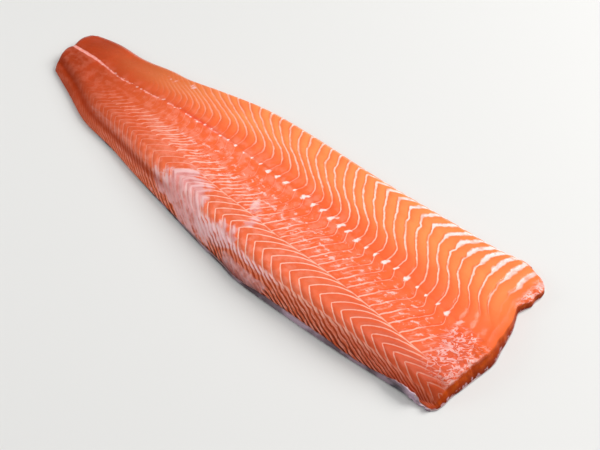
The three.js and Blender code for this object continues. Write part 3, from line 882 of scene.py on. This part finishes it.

# %% Painted shade beside the lines, then the film
loin_line, loin_phase = use(tree, fat_line, {
    "Sheet": loin_number, "Spacing": known["loin_spacing"], "Half width": known["loin_fat"], "Waver": 0.12})
belly_line, belly_phase = use(tree, fat_line, {
    "Sheet": belly_number, "Spacing": known["belly_spacing"], "Half width": known["belly_fat"],
    "Waver": 0.1})
beyond_septum = step(off_septum, -0.35, 0.35)
on_the_wall = step(off_shoulder, -0.5, -4.5)
# Painted shade: the muscle is darkened close beside each line of fat, where the flake's slope turns from
# the light.
loin_painted_shade = step(loin_phase, 0.0, 0.5, 0.4, 0.0)
belly_painted_shade = larger(step(belly_phase, 0.0, 0.6, 0.3, 0.0), step(belly_phase, 0.74, 0.94, 0.0, 0.55))
belly_painted_shade = belly_painted_shade * step(known["belly_strength"], 0.05, 0.4)
either_painted_shade = Wire(node(tree, "ShaderNodeMix", {0: beyond_septum, 2: loin_painted_shade, 3: belly_painted_shade}))
base = dye(step(along, 0.15, 0.4) * either_painted_shade, base, colour(236, 84, 42))
film_colour = dye(step(blotch, 0.5, 0.36, 0.0, 0.55), FILM, colour(208, 122, 114))
film_colour = dye(step(strands, 0.44, 0.62, 0.0, 0.85), film_colour, colour(248, 214, 214))
# Painted light: on the wall, which faces away from the light, the film is painted paler so that it looks
# lit.
film_colour = dye(on_the_wall * step(blotch, 0.4, 0.55, 0.0, 0.6), film_colour, colour(250, 204, 208))
base = dye(film_seen, base, film_colour)
print("shade and film laid")

# %% [markdown]
# The wall along the back is striped: dark gaps between pale threads, which follow the sheets down and
# wander. It darkens towards its foot, where the brown muscle under the skin begins; that darkening and the
# near-black of the gaps are partly painted shade, for the wall turns away from the light.

# %% The wall along the back
# Partly painted shade: the wall's colours darken from the shoulder down to its foot, and its gaps go nearly
# black there.
lower = step(off_shoulder, -5, -26)
threads = cloud(vector(known["wall_sheet"] * 3.0, off_shoulder * 0.22, 1.0), 1.0, 3)
wandering = known["wall_sheet"] + speckle * 0.3 + blotch * 0.7
wave = sums("COSINE", wandering * (2 * np.pi)) + (threads - 0.5) * 1.4
wall_light = dye(lower, WALL_FLESH, colour(216, 90, 40))
wall_light = dye(step(threads, 0.45, 0.62, 0.0, 0.8), wall_light, colour(255, 178, 158))
wall_gaps_and_shade = dye(lower, colour(196, 76, 38), WALL_GAP_AND_SHADE)
wall_gaps_and_shade = dye(step(along, 0.5, 0.3), wall_gaps_and_shade, colour(190, 82, 46))
wall_seen = on_the_wall * step(along, 0.08, 0.38, 0.1, 0.95) * (1 - film_seen * 1.1)
base = dye(wall_seen, base, dye(step(wave, -0.7, 0.35), wall_gaps_and_shade, wall_light))
print("wall laid")

# %% Fat lines
loin_seen = loin_line * ((1 - beyond_septum) * (1 - on_the_wall)) * known["loin_strength"]
faint = step(blotch, 0.3, 0.55, 0.45, 1.0)
belly_seen = belly_line * beyond_septum * (known["belly_strength"] * faint)
dimmed = film_seen * step(strands, 0.62, 0.42, 0.2, 0.9)
base = dye(loin_seen * (1 - dimmed), base, dye(film_seen, FAT, colour(255, 214, 206)))
whiter = step(outer_share, 0.6, 0.85) * step(along, 0.6, 0.75)
belly_white = dye(whiter, BELLY_LINE, colour(255, 228, 222))
base = dye(belly_seen, base, dye(step(outer_share, 0.0, 0.6), FAT, belly_white))
septum_seen = step(sums("ABSOLUTE", off_septum), 0.9, 0.25) * step(blotch, 0.3, 0.6, 0.1, 0.75)
base = dye(septum_seen * step(along, 0.35, 0.5), base, FAT)
print("fat lines and septum laid")

# %% [markdown]
# Where the pin bones were pulled out, a white dot of fat stays on each sheet, and towards the tail the
# dots run together into a thread. Each dot draws lots for its size and for how far it strays. A dot is
# an oval that leans, and the speckle makes its edge ragged.

# %% Pin bones
bone_along, bone_across, bone_size = lots(sums("ROUND", belly_number))
strayed = off_pins - (bone_across - 0.5) * 3.0
past_bone = off_whole(belly_number) * known["belly_spacing"] - (bone_along - 0.5) * 2.4
large = step(bone_size, 0.0, 1.0, 0.65, 1.3)
dot_long = step(along, 0.36, 0.6, 1.2, 1.9) * large
dot_wide = step(along, 0.36, 0.6, 1.1, 3.8) * large
dot_far = sums("SQRT", ((past_bone - strayed * 0.45) / dot_long) ** 2.0 + (strayed / dot_wide) ** 2.0)
dots = step(dot_far + (speckle - 0.5) * 2.2, 1.25, 0.55) * step(along, 0.97, 0.9)
base = dye(known["blood"] * 0.6, base, colour(238, 70, 54))
off_thread = sums("ABSOLUTE", off_pins + (blotch - 0.5) * 3.0)
pin_thread = step(off_thread - step(along, 0.12, 0.02, 0.0, 0.9), 1.5, 0.5)
dashes = pin_thread * step(blotch, 0.42, 0.56) * step(speckle, 0.4, 0.54, 0.15, 1.0)
dashes = dashes * step(along, 0.55, 0.36, 0.0, 0.85)
thread_seen = larger(pin_thread * step(along, 0.15, 0.07, 0.0, 0.85), dashes)
base = dye(thread_seen, base, colour(250, 162, 150))
base = dye(dots * step(along, 0.15, 0.42, 0.3, 0.95), base, PIN_FAT)
print("pin bones laid")

# %% [markdown]
# Between the septum and the pin bones the muscle broke when the bones were pulled. It shows as short
# ticks of fat along the sheets, as half-length sheets between the whole ones, and as pale clots.

# %% Ticks, short sheets and clots
tick_zone = step(along, 0.2, 0.38) * step(along, 0.55, 0.68, 1.0, 0.5)
ticks = step(cloud(vector(belly_number * 3.4, off_septum * 0.11, 7.0), 1.0, 3, Roughness=0.6), 0.5, 0.68)
ticks = ticks * (step(inner_share, 0.0, 0.08) * step(inner_share, 0.75, 0.4))
base = dye(ticks * tick_zone * 0.6, base, colour(255, 186, 168))
half_number = belly_number * 2.0
short_long, short_start, _ = lots(sums("ROUND", half_number))
between, _ = use(tree, fat_line, {
    "Sheet": half_number, "Spacing": known["belly_spacing"] * 0.5, "Half width": 0.62, "Waver": 0.5})
short = step(inner_share - (short_long * 0.4 + 0.12), 0.05, -0.05)
short = short * step(inner_share - short_start * 0.2, 0.0, 0.05) * between * beyond_septum
short = short * step(speckle, 0.3, 0.5, 0.35, 1.0)
base = dye(short * tick_zone * 0.8, base, colour(255, 196, 180))
clots = step(cloud(vector(belly_number * 1.9, off_septum * 0.16, 2.0), 1.0, 4, Roughness=0.65), 0.55, 0.64)
clots = clots * (step(inner_share, 0.05, 0.25) * step(inner_share, 0.95, 0.5))
base = dye(clots * step(along, 0.2, 0.45, 0.0, 0.8), base, colour(255, 204, 194))
print("ticks, short sheets and clots laid")

# %% [markdown]
# A braided ridge of fat runs along the shoulder, its paleness partly a painted highlight along the edge.
# Lumps of membrane stick to the wall below it, with painted highlights, and painted shade towards the foot.
# Near the head end the muscle is torn into pale shreds that all lie one way; the flecks on their crests
# are partly painted glints, and the torn flesh between them is darkened as painted shade.

# %% Ridge, membrane and torn flesh
# Partly a painted highlight: the pale ridge is strands of fat and also the light caught along the
# shoulder's edge.
ridge_fat_and_highlight = step(known["ridge"], 0.1, 0.5) * step(wave + (speckle - 0.5) * 2.0, -0.8, 0.6, 0.1, 1.0)
ridge_fat_and_highlight_colour = dye(step(along, 0.62, 0.7), colour(255, 208, 210), colour(255, 182, 158))
base = dye(ridge_fat_and_highlight * 0.85, base, ridge_fat_and_highlight_colour)
lump_colour_and_painted_light = dye(step(blotch, 0.36, 0.66), MEMBRANE, colour(240, 178, 174))
# Painted highlights on the lumps, then painted shade towards the wall's foot.
lump_colour_and_painted_light = dye(step(speckle, 0.5, 0.7, 0.0, 0.5), lump_colour_and_painted_light, colour(244, 206, 210))
lump_colour_and_painted_light = dye(step(off_shoulder, -16, -25, 0.0, 0.7), lump_colour_and_painted_light, colour(140, 80, 82))
in_lumps = step(known["membrane"] + (blotch - 0.5) * 1.2, 0.3, 0.85, 0.0, 0.85)
base = dye(in_lumps, base, lump_colour_and_painted_light)
along_grain = Wire(node(tree, "ShaderNodeVectorRotate", {
    "Vector": place, "Angle": -np.radians(GRAIN)}, rotation_type="Z_AXIS"))
worms = cloud(stretched(along_grain, (0.5, 1.0, 1.0)), 200, 2.0, Distortion=1.1)
# Partly painted light: the pale flecks are shreds, and glints too, as they follow the wrinkles' crests.
worms = sums("ABSOLUTE", worms - 0.5) - known["wrinkle"] * 0.03
flecks_and_glints = step(known["torn"], 0.15, 0.7) * step(worms, 0.045, 0.005)
# Partly painted shade: the torn flesh is darker between its shreds.
base = dye(known["torn"] * 0.75, base, colour(224, 78, 40))
base = dye(flecks_and_glints * 0.9, base, colour(252, 196, 190))
# Painted shade in the crease behind the roll along the tail.
base = dye(known["creased"] * 0.8, base, colour(156, 46, 8))
print("ridge, membrane and torn flesh laid")

# %% The head end and the cuts
# Painted shade: the loin darkens towards the head end, where its top slopes down to the corner.
head_painted_shade = step(along, 0.7, 0.98, 0.0, 0.55) * step(off_septum, 0.0, -8.0)
base = dye(head_painted_shade, base, colour(206, 128, 92), "MULTIPLY")
base = dye(step(along, 0.86, 1.0, 0.0, 0.25), base, colour(236, 104, 52))
# Painted shade on the rounded edge above the head cut, where the top falls away.
base = dye(known["head_edge"] * 0.65, base, colour(226, 98, 40))
# Painted shade on the worn corner by the loin, where the top falls away.
base = dye(known["corner"] * 0.5, base, colour(150, 72, 30), "MULTIPLY")
base = dye(known["corner"] * 0.45, base, colour(136, 62, 18))
# Painted shade: the cut faces are the flesh's orange, painted darker as they stand steep, away from the
# light.
on_cut = known["cut_face"] * step(known["corner"], 0.9, 0.3, 0.45, 1.0)
cut_shaded_colour = dye(step(blotch, 0.4, 0.7, 0.0, 0.7), CUT_FLESH_SHADED, colour(200, 82, 12))
base = dye(on_cut, base, cut_shaded_colour)
# Painted shade at the foot of the head cut.
base = dye(known["cut_foot"] * 0.85, base, colour(112, 30, 4))
skin_shreds = step(known["cut_foot"], 0.55, 0.9) * step(speckle, 0.52, 0.6)
base = dye(skin_shreds * 0.75, base, colour(206, 168, 176))
# Painted highlight along the rim of the head cut.
rim_highlight = known["head_rim_highlight"] * step(speckle, 0.44, 0.58) * (1 - on_cut)
base = dye(rim_highlight * 0.75, base, colour(252, 196, 184))
print("cuts laid")

# %% [markdown]
# Water lies on the smooth muscle and makes it shine. The cut faces, the crease and the wall are drier,
# so they are duller. Fat is a little less smooth than muscle, and light goes a short way into both.

# %% Wetness and the shader
grain, wet = use(tree, wet_grain, {"Size": 260.0, "Stretch": 5.0})
dull = larger(on_the_wall * 0.8, on_cut, known["creased"], known["head_edge"])
roughness = step(wet, 0.0, 1.0, 0.34, 0.2) + larger(loin_seen, belly_seen) * 0.06 + dull * 0.26
dress(flesh, salmon, {
    "Base Color": base, "Roughness": roughness, "IOR": 1.34, "Specular IOR Level": 0.12,
    "Coat Weight": (1 - dull) * 0.4, "Coat Roughness": 0.12, "Subsurface Weight": 0.1,
    "Subsurface Scale": 0.002, "Subsurface Radius": (1.0, 0.35, 0.2)},
    height=grain * 0.25 + speckle * 0.15 + known["torn"] * speckle * 2.2 + ticks * 0.5,
    strength=0.5, depth=0.0006)
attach(flesh, "root")
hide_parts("flesh")

# %% [markdown]
# ## The skin
# The skin is a thin, tough sheet of scales. The fillet lies on it, and it turns up a few millimetres
# along the back, where the knife cut through it. It is made as the flesh is: a block with a net of
# points, moulded round the section. One face of the block becomes the scales, the other the inside.

# %% The skin's section
SKIN_THICK, SKIN_ALONG = 1.2, 240
SKIN_CELLS = (20, 23, 17)  # round the section: the lip at the back, the flat part, the belly's edge
SKIN_AROUND = sum(SKIN_CELLS)
lip_height = curve_through([
    (-311, 2.6), (-60, 2.8), (40, 3.6), (80, 4.8), (105, 7.4), (190, 7), (215, 5.2), (245, 6), (262, 9),
    (276, 12), (292, 11.5), (300, 4.6), (313, 3)])
BACK_TURN = [(0, 1.4), (0.7, 0.6), (3, 0.15), (7, 0)]  # in from the back edge, height
BELLY_TURN = [(8, 0), (4.2, 0.4), (2.4, 1.6)]  # in from the belly edge, height


def skin_section(at):
    """The outer face at one place along: its points from the back's lip to the belly's, and their run."""
    back, belly, lip = back_edge(at), belly_edge(at), lip_height(at)
    lean_in = 0.11 * shoulder_line(at) * (belly - back) * fade(lip, 3, 7)  # a high lip leans on the wall
    lip += (0.4 + 1.8 * fade(at, 250, 262)) * noise.noise(Vector((at / 5, 0.3, 1.7)))
    path = [(back + lean_in, lip), (back + 0.35 * lean_in, (lip + 1.4) / 2)]
    path += [(back + inwards, z) for inwards, z in BACK_TURN]
    path += [(belly - inwards, z) for inwards, z in BELLY_TURN]
    path = np.array(path, float)
    run = np.concatenate([[0], np.cumsum(np.hypot(*np.diff(path, axis=0).T))])
    flat_starts = 1 + len(BACK_TURN)
    stops = 0, run[flat_starts], run[flat_starts + 1], run[-1]
    even = np.concatenate([[0]] + [
        np.linspace(a, b, cells + 1)[1:] for a, b, cells in zip(stops, stops[1:], SKIN_CELLS)])
    return np.interp(even, run, path[:, 0]), np.interp(even, run, path[:, 1]), even


sections = [skin_section(at) for at in np.linspace(-LENGTH / 2, LENGTH / 2, SKIN_ALONG + 1)]
skin_y, skin_z, skin_run = (np.array([s[k] for s in sections]) for k in range(3))
print("skin net:", skin_y.shape)

# %% Mould the skin
skin = block("salmon_skin", SKIN_ALONG, SKIN_AROUND, 1)
skin_net = points_of(skin)
si = np.rint((skin_net[:, 0] + 0.5) * SKIN_ALONG).astype(int)
sj = np.rint((skin_net[:, 1] + 0.5) * SKIN_AROUND).astype(int)
skin_up = skin_net[:, 2].clip(0, 1)
inward = skin_up * SKIN_THICK
dy, dz = np.gradient(skin_y, axis=1), np.gradient(skin_z, axis=1)
cell_long = np.hypot(dy, dz)
sy = skin_y[si, sj] - (dz / cell_long)[si, sj] * inward
sz = skin_z[si, sj] + (dy / cell_long)[si, sj] * inward
ends_at = tail_cut(sy) - 0.4, head_cut(sy) + 0.5  # the skin reaches a little past the flesh
sx = ends_at[0] + (ends_at[1] - ends_at[0]) * si / SKIN_ALONG
run_round = skin_run[si, sj]
# The lip is lumpy, most of all near the head end.
lumpy = np.array([noise.noise(Vector((a / 4, b / 3, 5.0))) for a, b in zip(sx, run_round)])
bulge = 0.3 + 2.4 * fade(sx, 262, 278) * fade(sx, 301, 294)
sy = sy - (0.5 + lumpy) * bulge * fade(run_round, 16, 9)
sy = np.minimum(sy, belly_edge(sx) - 1.2 - 0.8 * inward)
mould(skin, sx, sy, np.maximum(sz, 0))
bpy.ops.object.shade_smooth_by_angle(angle=0.9)

# %% [markdown]
# The scales lie in staggered rows and overlap towards the tail, about 5 mm from row to row. The back is
# dark slate, the flank is silver, and the belly is white. The finish goes by how far round the section
# a point is, so that is stored on the points, along with an unwrapping of its own.

# %% Numbers and layout for the skin
store(skin, "around_mm", run_round)
store(skin, "along_mm", sx + LENGTH / 2)
store(skin, "inside", skin_up)


def outside_and_inside(at, least, most):
    """The scales get the larger band, and the inside the smaller."""
    return MARGIN + SPAN * at[0], np.where(most[2] == 0, 0.01 + 0.6 * at[1], 0.63 + 0.2 * at[1])


unwrap(skin, (si / SKIN_ALONG, sj / SKIN_AROUND, skin_up), outside_and_inside,
       sides=[(0.91, 0.02), (0.94, 0.02), (0.85, 0.02), (0.88, 0.02)])

# %% Shared: scales
SCALE_ROW = 5.2
scales, (scale_along, scale_around, row_high) = group(
    "Scales", {"Along": 0, "Around": 0, "Row": SCALE_ROW}, ["Edge", "Dome"])
row = scale_around / (row_high * 0.5)
odd = sums("FLOORED_MODULO", sums("FLOOR", row), 2.0) * 0.5
sideways = sums("FRACT", row) - 0.5
bowed = sideways * sideways * 1.6
lapped = sums("FRACT", scale_along / row_high + odd - bowed)
put_out(scales, {"Edge": step(lapped, 0.14, 0.0), "Dome": lapped * step(lapped, 0.0, 0.12)})

# %% The skin's finish
SLATE, SILVER, WHITE = colour(66, 62, 76), colour(150, 150, 160), colour(214, 208, 206)
INSIDE, CUT_EDGE_SHADED = colour(206, 176, 172), colour(74, 46, 56)
hide, tree = new_finish("salmon_skin")
around, skin_along, inside = (stored(tree, name) for name in ("around_mm", "along_mm", "inside"))
patches = cloud(object_place(tree), 40, 5)
down_flank = around + (patches - 0.5) * 30.0
base = dye(step(down_flank, 25, 80), SLATE, SILVER)
base = dye(step(down_flank, 110, 180), base, WHITE)
edge, dome = use(tree, scales, {"Along": skin_along, "Around": around, "Row": SCALE_ROW})
base = dye(edge * 0.45, base, colour(52, 50, 62))
# Painted shade: the skin's mauve lip along the back is painted nearly black.
base = dye(step(around, 9.0, 3.5, 0.0, 0.9), base, CUT_EDGE_SHADED)
# Partly painted highlights: the lip's pale lilac patches, most near the head end, are its colour and also
# light on its lumps.
lilac_and_highlight = step(skin_along, 570, 588) * step(skin_along, 616, 606)
lilac_and_highlight = lilac_and_highlight + step(skin_along, 400, 430) * step(skin_along, 530, 470, 0.0, 0.6)
pale = (step(patches, 0.44, 0.6, 0.0, 0.55) + lilac_and_highlight * 0.45) * step(around, 14.0, 6.0)
base = dye(pale, base, colour(202, 172, 190))
base = dye(step(inside, 0.5, 0.9), base, INSIDE)
grain, wet = use(tree, wet_grain, {"Size": 300.0, "Stretch": 2.0})
dress(skin, hide, {
    "Base Color": base, "Roughness": step(wet, 0.0, 1.0, 0.42, 0.28),
    "Metallic": step(inside, 0.5, 0.1, 0.0, 0.25), "Coat Weight": 0.3, "Coat Roughness": 0.15},
    height=dome + grain * 0.3, strength=0.6, depth=0.0004)
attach(skin, "root")
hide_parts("skin")

# %% [markdown]
# ## Floor, light and camera
# A pale floor and large soft lights show a wet, dark orange thing best. The main light comes from
# beyond the belly, so it skims over the flakes and leaves the wall along the back in soft shade.

# %% Floor
bpy.ops.object.select_all(action="DESELECT")
bpy.ops.mesh.primitive_plane_add(size=16, location=(0, 0, -0.0005))
floor = bpy.context.object
floor.name = "floor"
floor_finish = bpy.data.materials.new("floor")
floor_finish.use_nodes = True
floor_shader = floor_finish.node_tree.nodes["Principled BSDF"]
floor_shader.inputs["Base Color"].default_value = colour(226, 225, 222)
floor_shader.inputs["Roughness"].default_value = 0.8
floor.data.materials.append(floor_finish)
floor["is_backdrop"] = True
print("floor laid")


# %% Light
def aim(name, thing, azimuth, elevation, distance, look_at=Vector((0, 0, 0))):
    """Hangs a lamp or a camera where it faces look_at. Azimuth 0 is the back's side, 90 the head end."""
    a, e = np.radians(azimuth), np.radians(elevation)
    away = Vector((np.sin(a) * np.cos(e), -np.cos(a) * np.cos(e), np.sin(e)))
    hung = bpy.data.objects.new(name, thing)
    hung.location = look_at + distance * away
    hung.rotation_euler = away.to_track_quat("Z", "Y").to_euler()
    bpy.context.scene.collection.objects.link(hung)
    return hung


for name, azimuth, elevation, distance, size, watts in (
        ("window", 150, 38, 3.0, 1.9, 88), ("overhead", 60, 80, 2.6, 2.1, 18),
        ("fill", -55, 28, 1.3, 0.6, 2.5)):
    lamp = bpy.data.lights.new(name, "AREA")
    lamp.energy, lamp.size = watts, size
    aim(name, lamp, azimuth, elevation, distance)

world = bpy.data.worlds.new("room")
world.use_nodes = True
world.node_tree.nodes["Background"].inputs["Color"].default_value = (0.95, 0.97, 1.0, 1)
world.node_tree.nodes["Background"].inputs["Strength"].default_value = 0.3
bpy.context.scene.world = world

# %% Camera
LOOK_AT, CAMERA_DISTANCE = Vector((60.8, -9.0, 0)) * MM, 1217.4 * MM
eye = bpy.data.cameras.new("camera")
eye.lens, eye.sensor_width = 70.02, 36
camera = aim("camera", eye, 42.13, 52, CAMERA_DISTANCE, LOOK_AT)
bpy.context.scene.camera = camera
bpy.context.scene.view_settings.view_transform = "Standard"
print("camera at", [round(c, 3) for c in camera.location])

# %% [markdown]
# ## Finish
# The visual model's box is printed beside the imported model's, so that the two sizes can be compared.

# %% Sizes and table
sizes_found = {"cad": [list(map(float, c)) for c in cad_box],
               "visual": [list(map(float, c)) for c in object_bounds()]}
print("boxes in mm:", {k: [[round(c / MM, 1) for c in p] for p in b] for k, b in sizes_found.items()})
